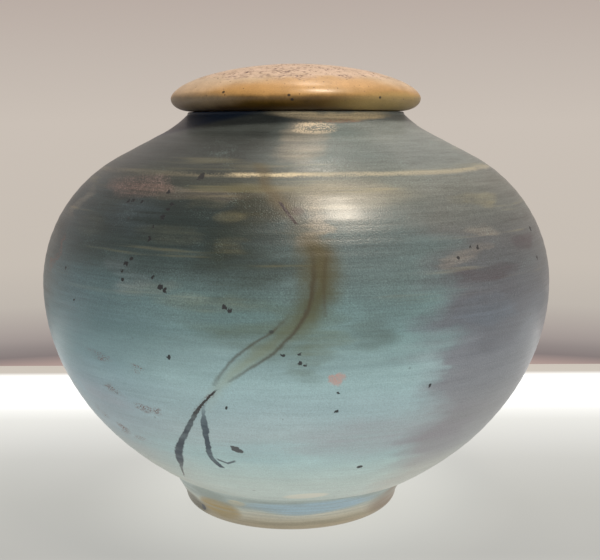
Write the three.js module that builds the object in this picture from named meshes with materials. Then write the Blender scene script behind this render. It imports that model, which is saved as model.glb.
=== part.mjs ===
// A squat, round-bellied pottery jar with a loose domed lid, in millimetres, +Z up.
// The origin is on the table, under the middle of the jar.
//
// It is made of four turned clay pieces: the thrown jar, the foot ring luted under its base, the lid,
// and the locating flange luted under the lid. The lid lifts straight off. Each piece is a profile
// spun about the wheel's axis, so a profile is a list of points (radius, height).
import * as THREE from "three";

// ---- Driving dimensions ----

// Jar
const bellyRadius = 120; // outside, at the widest line
const widestHeight = 109.5; // of that line, above the table
const baseRadius = 64; // outside edge of the flat base, where the foot's crease is
const lowerWallTurn = 50; // degrees of the lower wall's ellipse, from the widest line to the base
const shoulderReach = 70; // how far the shoulder's curve comes in from the widest line, level
const shoulderRise = 67.3; // how high that curve would rise, complete
const shoulderPitch = 27.5; // degrees above level of the straight slope up to the neck
const neckHollow = 47; // radius of the hollow between that slope and the rim
const collarRise = 3.7; // of the rim above the line of the slope
const wall = 6.5;
const floorThickness = 9;

// Mouth
const rimRadius = 51.4; // outside
const rimLand = 7; // width of the level rim that carries the lid
const rimEdge = 1.2; // bevel on the rim's edges

// Foot ring
const footHeight = 19.5;
const footOffset = -3; // along X: the ring was luted on a little off the middle
const footLedge = 0.5; // least width of base that stands out over the ring
const footWaistInset = 5.8; // outside, from its seat's edge to half height
const footRollInset = 8.2; // to where the rolled lower edge begins
const footRollHeight = 4.5; // of that rolled edge
const footStandInset = 13; // to the outer edge of the face that stands on the table
const footStandWidth = 6.5; // of that face
const footSeatWidth = 17; // of the face luted to the base

// Lid
const lidOverhang = 7.6; // out past the rim, at the lid's widest line
const lidLipReach = 6; // from the seat's outer edge out to that line
const lidLip = 5.6; // from the seat up to that line
const lidCrown = 16.4; // from that line up to the top
const lidCrownPower = 1.85; // 2 is a true ellipse, less is a more pointed crown
const lidThickness = 8.5; // at the middle
const seatGap = 0.3; // between the rim and the lid that rests on it

// Locating flange
const flangeClearance = 1.5; // to the mouth, all round
const flangeWidth = 5;
const flangeDepth = 10;
const flangeEdge = 1.2; // bevel on its lower edges

// How finely the curves are divided
const turnSegments = 64;
const wallSteps = 9;
const shoulderSteps = 7;
const hollowSteps = 4;
const footSideSteps = 4;
const footRollSteps = 3;
const crownSteps = 9;
const lipSteps = 3;
const lidHollowSteps = 6;

// ---- Sizes that follow from them ----

const mouthRadius = rimRadius - rimLand;
const flangeRadius = mouthRadius - flangeClearance;
const flangeInnerRadius = flangeRadius - flangeWidth;
const footSeatRadius = baseRadius - Math.abs(footOffset) - footLedge;
const footWaistRadius = footSeatRadius - footWaistInset;
const footRollRadius = footSeatRadius - footRollInset;
const footStandRadius = footSeatRadius - footStandInset;
const lidRadius = rimRadius + lidOverhang;
const floorHeight = footHeight + floorThickness;
const pitch = THREE.MathUtils.degToRad(shoulderPitch);

// ---- Curves ----

const point = (radius, height) => new THREE.Vector2(radius, height);

// Points along an ellipse about centre, moved square to it by inset towards its inside.
function ellipseArc(centre, reach, rise, fromTurn, toTurn, steps, inset = 0) {
  const points = [];
  for (let i = 0; i <= steps; i++) {
    const turn = THREE.MathUtils.lerp(fromTurn, toTurn, i / steps);
    const on = point(reach * Math.cos(turn), rise * Math.sin(turn));
    const outward = point(rise * Math.cos(turn), reach * Math.sin(turn)).normalize();
    points.push(on.addScaledVector(outward, -inset).add(centre));
  }
  return points;
}

// The round wall from the base to the top of the shoulder's curve, as seen at a depth of inset into the clay.
function roundWall(inset) {
  const turn = THREE.MathUtils.degToRad(lowerWallTurn);
  const lowerReach = (bellyRadius - baseRadius) / (1 - Math.cos(turn));
  const lowerRise = (widestHeight - footHeight) / Math.sin(turn);
  const lowerCentre = point(bellyRadius - lowerReach, widestHeight);
  const lower = ellipseArc(lowerCentre, lowerReach, lowerRise, -turn, 0, wallSteps, inset);

  const upperCentre = point(bellyRadius - shoulderReach, widestHeight);
  const upperTurn = Math.atan(shoulderRise / (shoulderReach * Math.tan(pitch)));
  const upper = ellipseArc(upperCentre, shoulderReach, shoulderRise, 0, upperTurn, shoulderSteps, inset);
  return [...lower, ...upper.slice(1)];
}

// Height at a radius of the straight slope that leaves the round wall's top at the shoulder's pitch.
function slopeHeight(wallTop, radius) {
  return wallTop.y + (wallTop.x - radius) * Math.tan(pitch);
}

// The hollow from the slope up to the rim: an arc tangent to the slope, outside the clay.
function neckHollowArc(wallTop, rim) {
  const along = point(-Math.cos(pitch), Math.sin(pitch));
  const outward = point(Math.sin(pitch), Math.cos(pitch));
  const toRim = rim.clone().sub(wallTop);
  const run = toRim.dot(along);
  const lift = toRim.dot(outward);
  const radius = Math.min(neckHollow, (run * run + lift * lift) / (2 * lift));
  const reach = Math.sqrt(2 * radius * lift - lift * lift);
  const centre = wallTop.clone().addScaledVector(along, run - reach).addScaledVector(outward, radius);
  const sweep = Math.asin(reach / radius);
  const points = [];
  for (let i = 0; i <= hollowSteps; i++) {
    const turn = (sweep * i) / hollowSteps;
    const spoke = outward.clone().multiplyScalar(-Math.cos(turn)).addScaledVector(along, Math.sin(turn));
    points.push(spoke.multiplyScalar(radius).add(centre));
  }
  return points;
}

// The part of a rising curve above a height, starting exactly on it.
function fromHeight(points, height) {
  const first = points.findIndex((p) => p.y > height);
  const below = points[first - 1];
  const above = points[first];
  const crossing = below.clone().lerp(above, (height - below.y) / (above.y - below.y));
  return [crossing, ...points.slice(first)];
}

// ---- Profiles ----

const outerWall = roundWall(0);
const outerWallTop = outerWall[outerWall.length - 1];
const rimHeight = slopeHeight(outerWallTop, rimRadius) + collarRise;

function jarProfile() {
  const hollow = neckHollowArc(outerWallTop, point(rimRadius, rimHeight - rimEdge));
  const innerWall = roundWall(wall);
  const throatBottom = slopeHeight(innerWall[innerWall.length - 1], mouthRadius);
  return [
    point(0, footHeight),
    ...outerWall,
    ...hollow,
    point(rimRadius - rimEdge, rimHeight),
    point(mouthRadius + rimEdge, rimHeight),
    point(mouthRadius, rimHeight - rimEdge),
    point(mouthRadius, throatBottom),
    ...fromHeight(innerWall, floorHeight).reverse(),
    point(0, floorHeight),
  ];
}

function footProfile() {
  const seatInner = footSeatRadius - footSeatWidth;
  const standInner = footStandRadius - footStandWidth;
  const halfHeight = footHeight / 2;
  const side = new THREE.SplineCurve([
    point(footRollRadius, footRollHeight),
    point(footWaistRadius, halfHeight),
    point(footSeatRadius, footHeight),
  ]).getPoints(footSideSteps);
  const rollCentre = point(footStandRadius, footRollHeight);
  const rollWidth = footRollRadius - footStandRadius;
  const roll = ellipseArc(rollCentre, rollWidth, footRollHeight, -Math.PI / 2, 0, footRollSteps);
  const ring = [point(standInner, 0), ...roll, ...side.slice(1), point(seatInner, footHeight)];
  return [...ring, ring[0].clone()];
}

// From its seat plane, which is height 0.
function lidProfile() {
  const lipCentre = point(lidRadius - lidLipReach, lidLip);
  const lip = ellipseArc(lipCentre, lidLipReach, lidLip, -Math.PI / 2, 0, lipSteps);
  const crown = [];
  for (let i = 1; i <= crownSteps; i++) {
    const turn = (Math.PI / 2) * (i / crownSteps);
    const level = i < crownSteps ? Math.cos(turn) ** (2 / lidCrownPower) : 0;
    crown.push(point(lidRadius * level, lidLip + lidCrown * Math.sin(turn) ** (2 / lidCrownPower)));
  }
  const hollowRise = lidLip + lidCrown - lidThickness;
  const hollow = ellipseArc(point(0, 0), flangeInnerRadius, hollowRise, Math.PI / 2, 0, lidHollowSteps);
  hollow[0].x = 0;
  return [...hollow, ...lip, ...crown];
}

// From the lid's seat plane down.
function flangeProfile() {
  const ring = [
    point(flangeInnerRadius, 0),
    point(flangeInnerRadius, -flangeDepth + flangeEdge),
    point(flangeInnerRadius + flangeEdge, -flangeDepth),
    point(flangeRadius - flangeEdge, -flangeDepth),
    point(flangeRadius, -flangeDepth + flangeEdge),
    point(flangeRadius, 0),
  ];
  return [...ring, ring[0].clone()];
}

// ---- Pieces ----

const glaze = new THREE.MeshStandardMaterial({ color: 0x7f9a9b, roughness: 0.42, metalness: 0 });
const fumedFoot = new THREE.MeshStandardMaterial({ color: 0x978b72, roughness: 0.5, metalness: 0 });
const buffLid = new THREE.MeshStandardMaterial({ color: 0xc2a06c, roughness: 0.45, metalness: 0 });
const bareClay = new THREE.MeshStandardMaterial({ color: 0xb59a78, roughness: 0.8, metalness: 0 });

function turned(name, profile, material) {
  const mesh = new THREE.Mesh(new THREE.LatheGeometry(profile, turnSegments), material);
  mesh.name = name;
  return mesh;
}

// The wheel spins about its own Y axis; standing it up puts that axis along +Z.
const wheel = new THREE.Group();
wheel.rotation.x = Math.PI / 2;
wheel.add(turned("jar_body", jarProfile(), glaze));

const footRing = turned("foot_ring", footProfile(), fumedFoot);
footRing.position.x = footOffset;
wheel.add(footRing);

const lidAssembly = new THREE.Group();
lidAssembly.position.y = rimHeight + seatGap;
lidAssembly.add(turned("lid", lidProfile(), buffLid));
lidAssembly.add(turned("lid_flange", flangeProfile(), bareClay));
wheel.add(lidAssembly);

const liddedJar = new THREE.Group();
liddedJar.name = "lidded_jar";
liddedJar.add(wheel);

export default liddedJar;
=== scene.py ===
import math

import bpy
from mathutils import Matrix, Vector


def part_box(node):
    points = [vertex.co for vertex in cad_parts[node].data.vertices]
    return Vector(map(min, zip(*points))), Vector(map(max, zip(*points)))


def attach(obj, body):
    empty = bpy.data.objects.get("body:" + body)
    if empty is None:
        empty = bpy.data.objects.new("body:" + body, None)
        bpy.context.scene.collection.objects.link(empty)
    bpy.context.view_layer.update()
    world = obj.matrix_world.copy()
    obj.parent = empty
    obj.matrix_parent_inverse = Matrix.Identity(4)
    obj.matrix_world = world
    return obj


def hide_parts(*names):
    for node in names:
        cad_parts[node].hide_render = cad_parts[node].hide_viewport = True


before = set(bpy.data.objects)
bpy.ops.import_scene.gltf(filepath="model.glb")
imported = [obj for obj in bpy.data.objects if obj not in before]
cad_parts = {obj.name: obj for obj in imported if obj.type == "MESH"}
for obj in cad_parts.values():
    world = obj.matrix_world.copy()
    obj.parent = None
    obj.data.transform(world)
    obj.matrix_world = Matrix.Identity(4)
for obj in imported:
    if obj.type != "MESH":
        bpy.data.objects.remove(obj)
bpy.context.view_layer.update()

# ---- The camera ----
# It stands half a metre in front of the jar's axis, a little lower than the rim,
# and is tipped down towards the belly.
MM = 0.001
camera_place = (0, -491 * MM, 184 * MM)
camera_tip = 8.8  # degrees below level
camera_turn = 0.23  # degrees to the right
camera_roll = 0.16  # degrees
camera_lens = 61.0
camera_film_width = 36
camera_nearest = 0.01


def put(name, data):
    """A new object in the scene."""
    made = bpy.data.objects.new(name, data)
    bpy.context.scene.collection.objects.link(made)
    return made


camera_data = bpy.data.cameras.new("camera")
camera_data.lens = camera_lens
camera_data.sensor_width = camera_film_width
camera_data.clip_start = camera_nearest
camera = put("camera", camera_data)
camera.location = camera_place
camera.rotation_mode = "XYZ"
camera.rotation_euler = [math.radians(a) for a in (90 - camera_tip, camera_roll, -camera_turn)]
bpy.context.scene.camera = camera

# ---- The thrown jar ----
# A closed form thrown in one piece on the wheel, with a level floor and a flat rim.
# Its clay was burnished and then fumed in smoke, which left it satin, mottled and without any glaze.
belly_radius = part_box("jar_body")[1].x / MM
base_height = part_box("jar_body")[0].z / MM
rim_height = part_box("jar_body")[1].z / MM
widest_height = 109.5
base_radius = 64
lower_wall_turn = math.radians(50)
shoulder_reach = 70
shoulder_rise = 67.3
shoulder_pitch = math.radians(27.5)
neck_hollow = 47
wall = 6.5
floor_thickness = 9
rim_radius = 51.4
rim_land = 7
rim_edge = 1.2
mouth_radius = rim_radius - rim_land
throat_bend = 2.0
floor_bend = 5.0
jar_turns = 320


def ellipse_arc(centre, reach, rise, from_turn, to_turn, steps, inset=0):
    """Points (radius, height) along an ellipse about centre, moved inwards and square to it by inset."""
    points = []
    for i in range(steps + 1):
        turn = from_turn + (to_turn - from_turn) * i / steps
        outward = Vector((rise * math.cos(turn), reach * math.sin(turn))).normalized()
        on_ellipse = Vector((reach * math.cos(turn), rise * math.sin(turn)))
        points.append(on_ellipse - outward * inset + Vector(centre))
    return points


def round_wall(inset, lower_steps, upper_steps):
    """The wall from its base to the top of the shoulder's curve, at a depth of inset into the clay."""
    lower_reach = (belly_radius - base_radius) / (1 - math.cos(lower_wall_turn))
    lower_rise = (widest_height - base_height) / math.sin(lower_wall_turn)
    lower_centre = (belly_radius - lower_reach, widest_height)
    upper_centre = (belly_radius - shoulder_reach, widest_height)
    upper_turn = math.atan(shoulder_rise / (shoulder_reach * math.tan(shoulder_pitch)))
    lower = ellipse_arc(lower_centre, lower_reach, lower_rise, -lower_wall_turn, 0, lower_steps, inset)
    upper = ellipse_arc(upper_centre, shoulder_reach, shoulder_rise, 0, upper_turn, upper_steps, inset)
    return lower + upper[1:]


def straight(start, end, steps):
    """Points between two corners, without the first corner."""
    return [Vector(start).lerp(Vector(end), (i + 1) / steps) for i in range(steps)]


def neck_hollow_arc(wall_top, rim, steps):
    """The hollow from the shoulder's slope up to the rim, an arc tangent to the slope."""
    along = Vector((-math.cos(shoulder_pitch), math.sin(shoulder_pitch)))
    outward = Vector((math.sin(shoulder_pitch), math.cos(shoulder_pitch)))
    run, lift = (rim - wall_top).dot(along), (rim - wall_top).dot(outward)
    radius = min(neck_hollow, (run * run + lift * lift) / (2 * lift))
    reach = math.sqrt(2 * radius * lift - lift * lift)
    centre = wall_top + along * (run - reach) + outward * radius
    turns = [math.asin(reach / radius) * i / steps for i in range(steps + 1)]
    return [centre + (along * math.sin(t) - outward * math.cos(t)) * radius for t in turns]


def round_corner(corner, before, after, radius, steps):
    """A rounded corner between the directions to the points before and after it."""
    corner = Vector(corner)
    start = corner + (Vector(before) - corner).normalized() * radius
    end = corner + (Vector(after) - corner).normalized() * radius
    points = []
    for i in range(steps + 1):
        t = i / steps
        points.append(start * (1 - t) ** 2 + corner * 2 * t * (1 - t) + end * t ** 2)
    return points


class Wire:
    """A socket in a node tree that takes part in Python expressions."""

    def __init__(self, tree, socket=None):
        self.tree, self.socket = tree, socket

    def node(self, kind, settings=None, inputs=None, output=0):
        """A new node with its settings set first and its inputs given as values or wires."""
        made = self.tree.nodes.new(kind)
        for name, value in (settings or {}).items():
            if name == "stops":
                ramp = made.color_ramp.elements
                while len(ramp) < len(value):
                    ramp.new(1)
                for element, (place, colour) in zip(ramp, value):
                    element.position, element.color = place, (*colour, 1)
            elif name == "curve":
                line = made.mapping.curves[0]
                while len(line.points) < len(value):
                    line.points.new(1, 1)
                for p, place in zip(line.points, value):
                    p.location = place
                made.mapping.update()
            else:
                setattr(made, name, value)
        for key, value in (inputs or {}).items():
            if isinstance(value, Wire):
                self.tree.links.new(value.socket, made.inputs[key])
            elif isinstance(value, tuple) and made.inputs[key].type == "RGBA":
                made.inputs[key].default_value = (*value, 1)
            else:
                made.inputs[key].default_value = value
        return Wire(self.tree, made.outputs[output])

    def outputs(self):
        """Every output of this socket's node, by name."""
        return {o.name: Wire(self.tree, o) for o in self.socket.node.outputs}

    def math(self, operation, *values):
        """A Math node on values or wires."""
        return self.node("ShaderNodeMath", {"operation": operation}, dict(enumerate(values)))

    def __add__(self, other):
        return self.math("ADD", self, other)

    def __radd__(self, other):
        return self.math("ADD", other, self)

    def __sub__(self, other):
        return self.math("SUBTRACT", self, other)

    def __rsub__(self, other):
        return self.math("SUBTRACT", other, self)

    def __mul__(self, other):
        return self.math("MULTIPLY", self, other)

    def __rmul__(self, other):
        return self.math("MULTIPLY", other, self)

    def __truediv__(self, other):
        return self.math("DIVIDE", self, other)

    def __rtruediv__(self, other):
        return self.math("DIVIDE", other, self)

    def __pow__(self, other):
        return self.math("POWER", self, other)

    def __mod__(self, other):
        return self.math("FLOORED_MODULO", self, other)

    def unsigned(self):
        """This value without its sign."""
        return self.math("ABSOLUTE", self)

    def parts(self):
        """X, Y and Z of this place."""
        return self.node("ShaderNodeSeparateXYZ", {}, {0: self}).outputs()

    def rise(self, low, high, top=1.0, bottom=0.0):
        """Smoothly from bottom where this is low, to top where it is high."""
        return self.node("ShaderNodeMapRange", {"interpolation_type": "SMOOTHSTEP"}, {
            "Value": self, "From Min": low, "From Max": high, "To Min": bottom, "To Max": top})

    def ramp(self, stops, low, high):
        """A colour that changes with this value from low to high, from stops of (value, colour)."""
        shares = [((value - low) / (high - low), colour) for value, colour in stops]
        return self.node("ShaderNodeValToRGB", {"stops": shares}, {"Fac": (self - low) / (high - low)})

    def curve(self, points, width, low=0.0, high=1.0):
        """A smooth curve through points of (value, result), for values from 0 to width."""
        inside = [(value / width, (result - low) / (high - low)) for value, result in sorted(points)]
        bent = self.node("ShaderNodeFloatCurve", {"curve": inside}, {"Value": self / width})
        return bent * (high - low) + low

    def tint(self, colour, amount, blend="MIX"):
        """This colour, taken towards another by an amount."""
        return self.node("ShaderNodeMix", {"data_type": "RGBA", "blend_type": blend}, {
            0: amount, 6: self, 7: colour}, output=2)

    def lit(self, factor):
        """This colour, brighter or darker by a factor."""
        return self.node("ShaderNodeVectorMath", {"operation": "SCALE"}, {0: self, "Scale": factor})

    def cloud(self, size, stretch=(1, 1, 1), detail=2.0, roughness=0.5, seed=0.0):
        """Noise about 0, with patches about size wide, drawn out by a stretch along X, Y and Z."""
        squeeze = tuple(1 / (size * s) for s in stretch)
        shift = (seed, seed * 1.7, seed * 2.3)
        moved = self.node("ShaderNodeVectorMath", {"operation": "MULTIPLY_ADD"}, {
            0: self, 1: squeeze, 2: shift})
        return self.node("ShaderNodeTexNoise", {}, {
            "Vector": moved, "Scale": 1.0, "Detail": detail, "Roughness": roughness}) - 0.5

    def felt(self, name):
        """What the geometry stores under a name."""
        return self.node("ShaderNodeAttribute", {"attribute_name": name}, output="Fac")

    def plain(self, colour):
        """One colour, the same everywhere."""
        made = self.node("ShaderNodeRGB")
        made.socket.default_value = (*colour, 1)
        return made

    def grains(self, scale, least, spread, edge, kept):
        """1 on scattered round grains of mixed sizes, of which only a share is kept."""
        cells = self.node("ShaderNodeTexVoronoi", {}, {"Vector": self, "Scale": scale}).outputs()
        kind = self.node("ShaderNodeSeparateColor", {}, {0: cells["Color"]}).outputs()
        grain = (cells["Distance"] / (kind["Red"] * spread + least)).rise(1.0, edge)
        return grain * kind["Green"].rise(*kept)


def wheel_tree():
    """Geometry Nodes that spin a profile of points about the Z axis, and leave throwing rings on it."""
    weld = 2e-6
    spiral_share, wander_share = 0.35, 2.6
    wander_squeeze, wander_detail = (6, 6, 160), 3.0
    swell_scale, swell_detail, swell_seed = 9.0, 1.0, 5.0
    ragged_width, ragged_height, ragged_fade = 12 * MM, 7 * MM, 3 * MM
    crack_spacing, crack_width, crack_patch = 4.5 * MM, 0.04, 8 * MM
    pock_spacing, scale_spacing, scale_share = 1.8 * MM, 2.2 * MM, 0.7

    tree = bpy.data.node_groups.new("potters_wheel", "GeometryNodeTree")
    wanted = {"Profile": "Object", "Turns": "Int", "Ring Spacing": "Float", "Ring Depth": "Float",
              "Unevenness": "Float", "Off Centre": "Float", "Pit Depth": "Float", "Pitted Above": "Float",
              "Seed": "Float", "Clay": "Material"}
    for name, kind in wanted.items():
        tree.interface.new_socket(name, in_out="INPUT", socket_type="NodeSocket" + kind)
    tree.interface.new_socket("Geometry", in_out="OUTPUT", socket_type="NodeSocketGeometry")
    start = Wire(tree)
    asked = start.node("NodeGroupInput").outputs()

    def geometry(kind, inputs, **settings):
        return start.node("GeometryNode" + kind, settings, inputs)

    def store(form, name, value):
        return geometry("StoreNamedAttribute", {"Geometry": form, "Name": name, "Value": value},
                        data_type="FLOAT", domain="POINT")

    def stored(name):
        return geometry("InputNamedAttribute", {"Name": name}, data_type="FLOAT")

    profile = geometry("ObjectInfo", {"Object": asked["Profile"]}).outputs()["Geometry"]
    count = geometry("AttributeDomainSize", {"Geometry": profile}, component="MESH")
    grid = geometry("MeshGrid", {
        "Size X": 1.0, "Size Y": 1.0, "Vertices X": asked["Turns"] + 1, "Vertices Y": count})
    index = geometry("InputIndex", {})
    along = index % count
    turn = (index - along) / count / asked["Turns"] * math.tau

    place = geometry("InputPosition", {})
    flat = geometry("SampleIndex", {"Geometry": profile, "Value": place, "Index": along},
                    data_type="FLOAT_VECTOR").parts()
    spun = start.node("ShaderNodeCombineXYZ", {}, {
        0: flat["X"] * turn.math("SINE", turn), 1: flat["X"] * turn.math("COSINE", turn) * -1.0,
        2: flat["Z"]})
    form = geometry("SetPosition", {"Geometry": grid, "Position": spun})
    for mark in ("outside", "rings"):
        sampled = geometry("SampleIndex", {"Geometry": profile, "Value": stored(mark), "Index": along},
                           data_type="FLOAT")
        form = store(form, mark, sampled)
    closed = geometry("MergeByDistance", {"Geometry": form, "Distance": weld})

    # Throwing rings: a faint spiral and wandering grooves, on a form that is never quite round.
    where = place.parts()
    round_turn = start.math("ARCTAN2", where["X"], where["Y"])
    spiral = start.math("SINE", where["Z"] / asked["Ring Spacing"] * math.tau + round_turn)
    drawn_out = start.node("ShaderNodeVectorMath", {"operation": "MULTIPLY"}, {0: place, 1: wander_squeeze})
    wander = start.node("ShaderNodeTexNoise", {"noise_dimensions": "4D"}, {
        "Vector": drawn_out, "W": asked["Seed"], "Scale": 1.0, "Detail": wander_detail})
    swell = start.node("ShaderNodeTexNoise", {"noise_dimensions": "4D"}, {
        "Vector": place, "W": asked["Seed"] + swell_seed, "Scale": swell_scale, "Detail": swell_detail})
    ringed = stored("rings")
    rings = (spiral * spiral_share + (wander - 0.5) * wander_share) * asked["Ring Depth"] * ringed
    uneven = (swell - 0.5) * asked["Unevenness"] * ringed

    # The crust: cracks, pocks and scales above a ragged edge.
    ragged = where["Z"] + place.cloud(ragged_width, detail=3, seed=31.0) * ragged_height
    pitted = ragged.rise(asked["Pitted Above"], asked["Pitted Above"] + ragged_fade) * ringed
    crack = place.cloud(crack_spacing, detail=4, roughness=0.65, seed=32.0).unsigned().rise(crack_width, 0.0)
    cracks = crack * place.cloud(crack_patch, seed=33.0).rise(-0.06, 0.06)
    pocks = place.cloud(pock_spacing, detail=3, seed=34.0).rise(0.09, 0.17)
    pits = start.math("MAXIMUM", cracks, pocks) * pitted
    scaly = place.cloud(scale_spacing, detail=4, roughness=0.7, seed=35.0) * pitted
    marked = store(store(closed, "pits", pits), "pitted", pitted)

    raised = rings + uneven + (scaly * scale_share - pits) * asked["Pit Depth"]
    push = geometry("InputNormal", {}).lit(raised)
    thrown = geometry("SetPosition", {"Geometry": marked, "Offset": push})
    shift = start.node("ShaderNodeCombineXYZ", {}, {0: asked["Off Centre"]})
    set_down = geometry("SetPosition", {"Geometry": thrown, "Offset": shift})
    smooth = geometry("SetShadeSmooth", {"Geometry": set_down})
    real = geometry("RealizeInstances", {"Geometry": smooth})
    done = geometry("SetMaterial", {"Geometry": real, "Material": asked["Clay"]})
    end = tree.nodes.new("NodeGroupOutput")
    tree.links.new(done.socket, end.inputs["Geometry"])
    return tree


potters_wheel = wheel_tree()


def throw(name, stretches, clay, turns, ring_spacing=5, ring_depth=0.0, unevenness=0.0, off_centre=0.0,
          pit_depth=0.0, pitted_above=1000, seed=0.0):
    """Spins stretches of profile, each (points in mm, outside, rings), into a closed piece of clay."""
    same_place = 1e-4
    points, outside, rings = [], [], []
    for stretch, shows, ringed in stretches:
        for p in stretch:
            if points and (Vector(p) - points[-1]).length < same_place:
                continue
            points.append(Vector(p))
            outside.append(shows)
            rings.append(ringed)
    rib = bpy.data.meshes.new(name + "_rib")
    edges = [(i, i + 1) for i in range(len(points) - 1)]
    rib.from_pydata([(p.x * MM, 0, p.y * MM) for p in points], edges, [])
    for mark, values in (("outside", outside), ("rings", rings)):
        rib.attributes.new(mark, "FLOAT", "POINT").data.foreach_set("value", values)
    rib_object = put(name + "_rib", rib)
    lump = put(name + "_lump", bpy.data.meshes.new(name + "_lump"))
    modifier = lump.modifiers.new("wheel", "NODES")
    modifier.node_group = potters_wheel
    given = {"Profile": rib_object, "Turns": turns, "Ring Spacing": ring_spacing * MM,
             "Ring Depth": ring_depth * MM, "Unevenness": unevenness * MM, "Off Centre": off_centre * MM,
             "Pit Depth": pit_depth * MM, "Pitted Above": pitted_above * MM, "Seed": seed, "Clay": clay}
    for item in potters_wheel.interface.items_tree:
        if item.in_out == "INPUT":
            modifier[item.identifier] = given[item.name]
    turned = bpy.data.meshes.new_from_object(lump.evaluated_get(bpy.context.evaluated_depsgraph_get()))
    lump.modifiers.remove(modifier)
    for scrap in (lump, rib_object):
        bpy.data.objects.remove(scrap)
    return put(name, turned)


def jar_profile():
    """Stretches of profile: out along the base, up the outside, over the rim and down inside to the floor."""
    base_edge = 1.0
    floor_rise, floor_reach = 4, 6
    edge_steps, flat_steps, hollow_steps = 4, 12, 16
    clear_of_edge, fully_ringed = 4, 8
    outer = round_wall(0, 90, 70)
    inner = round_wall(wall, 26, 22)
    across, up = Vector((3, 0)), Vector((0, 3))
    wall_top, inner_top = outer[-1], inner[-1]
    base = (base_radius, base_height)
    base_corner = round_corner(base, (0, base_height), outer[clear_of_edge - 1], base_edge, edge_steps)
    rim = Vector((rim_radius, rim_height))
    hollow = neck_hollow_arc(wall_top, rim - Vector((0, rim_edge)), hollow_steps)
    mouth = Vector((mouth_radius, rim_height))
    throat = Vector((mouth_radius, inner_top.y + (inner_top.x - mouth_radius) * math.tan(shoulder_pitch)))
    floor_height = base_height + floor_thickness
    above_floor = [p for p in inner if p.y > floor_height + floor_rise]
    floor_corner = Vector((above_floor[0].x - floor_reach, floor_height))
    return [
        (straight((0, base_height), (base_radius - base_edge, base_height), flat_steps), 0.0, 0.0),
        (base_corner, 1.0, 0.0),
        (outer[clear_of_edge:fully_ringed], 1.0, 0.3),
        (outer[fully_ringed:], 1.0, 1.0),
        (straight(wall_top, hollow[0], flat_steps), 1.0, 1.0),
        (hollow, 1.0, 0.4),
        (round_corner(rim, rim - up, rim - across, rim_edge, edge_steps), 1.0, 0.0),
        (round_corner(mouth, mouth + across, mouth - up, rim_edge, edge_steps), 0.6, 0.0),
        (straight(mouth - Vector((0, rim_edge)), throat + Vector((0, throat_bend)), edge_steps), 0.3, 0.0),
        (round_corner(throat, throat + up, inner_top, throat_bend, 3), 0.0, 0.3),
        (straight(throat.lerp(inner_top, 0.1), inner_top, 8), 0.0, 1.0),
        (above_floor[::-1], 0.0, 1.0),
        (round_corner(floor_corner, above_floor[0], (0, floor_height), floor_bend, 5), 0.0, 0.5),
        (straight(floor_corner - Vector((floor_bend, 0)), (0, floor_height), hollow_steps), 0.0, 0.0),
    ]


smoke_black = (0.006, 0.008, 0.012)
slate = (0.045, 0.07, 0.1)
cream = (0.62, 0.54, 0.36)
beige = (0.42, 0.35, 0.26)
straw = (0.24, 0.22, 0.12)
plum = (0.07, 0.055, 0.072)
rose = (0.2, 0.12, 0.11)
sky = (0.36, 0.54, 0.59)
lavender = (0.36, 0.4, 0.46)
rust = (0.12, 0.055, 0.05)
brown = (0.035, 0.027, 0.009)
bare_clay = (0.36, 0.29, 0.22)

# The fuming: stretches of colour side by side round the jar, each with stops of (height in mm, colour).
fumed_left = [
    (18, (0.6, 0.64, 0.55)), (34, (0.57, 0.63, 0.6)), (54, (0.42, 0.54, 0.61)), (74, (0.31, 0.45, 0.54)),
    (90, (0.185, 0.32, 0.37)), (106, (0.105, 0.2, 0.235)), (124, (0.068, 0.135, 0.165)),
    (136, (0.045, 0.08, 0.1)), (152, (0.043, 0.072, 0.092)), (166, (0.058, 0.072, 0.084)),
    (185, (0.05, 0.065, 0.078))]
fumed_front = [
    (18, (0.7, 0.8, 0.77)), (34, (0.6, 0.74, 0.72)), (50, (0.46, 0.66, 0.69)), (62, (0.43, 0.56, 0.6)),
    (75, (0.37, 0.53, 0.58)), (86, (0.34, 0.52, 0.56)), (95, (0.24, 0.38, 0.41)),
    (105, (0.14, 0.25, 0.27)), (116, (0.105, 0.19, 0.205)), (128, (0.095, 0.15, 0.16)),
    (140, (0.08, 0.12, 0.13)), (149, (0.08, 0.11, 0.115)), (158, (0.115, 0.13, 0.115)),
    (170, (0.105, 0.14, 0.145)), (186, (0.13, 0.165, 0.17))]
fumed_right = [
    (18, (0.7, 0.74, 0.68)), (33, (0.57, 0.6, 0.57)), (46, (0.42, 0.45, 0.48)), (62, (0.33, 0.35, 0.38)),
    (80, (0.25, 0.275, 0.315)), (94, (0.185, 0.21, 0.25)), (105, (0.12, 0.145, 0.18)),
    (116, (0.085, 0.1, 0.125)), (126, (0.075, 0.09, 0.105)), (136, (0.08, 0.09, 0.1)),
    (147, (0.095, 0.11, 0.11)), (158, (0.12, 0.135, 0.13)), (170, (0.145, 0.175, 0.18)),
    (186, (0.165, 0.195, 0.2))]
smoked = [
    (110, (0.07, 0.135, 0.145)), (126, (0.042, 0.076, 0.08)), (136, (0.021, 0.039, 0.041)),
    (145, (0.013, 0.026, 0.027)), (155, (0.016, 0.026, 0.026)), (163, (0.032, 0.04, 0.036)),
    (172, (0.028, 0.036, 0.037)), (186, (0.042, 0.052, 0.052))]

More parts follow.
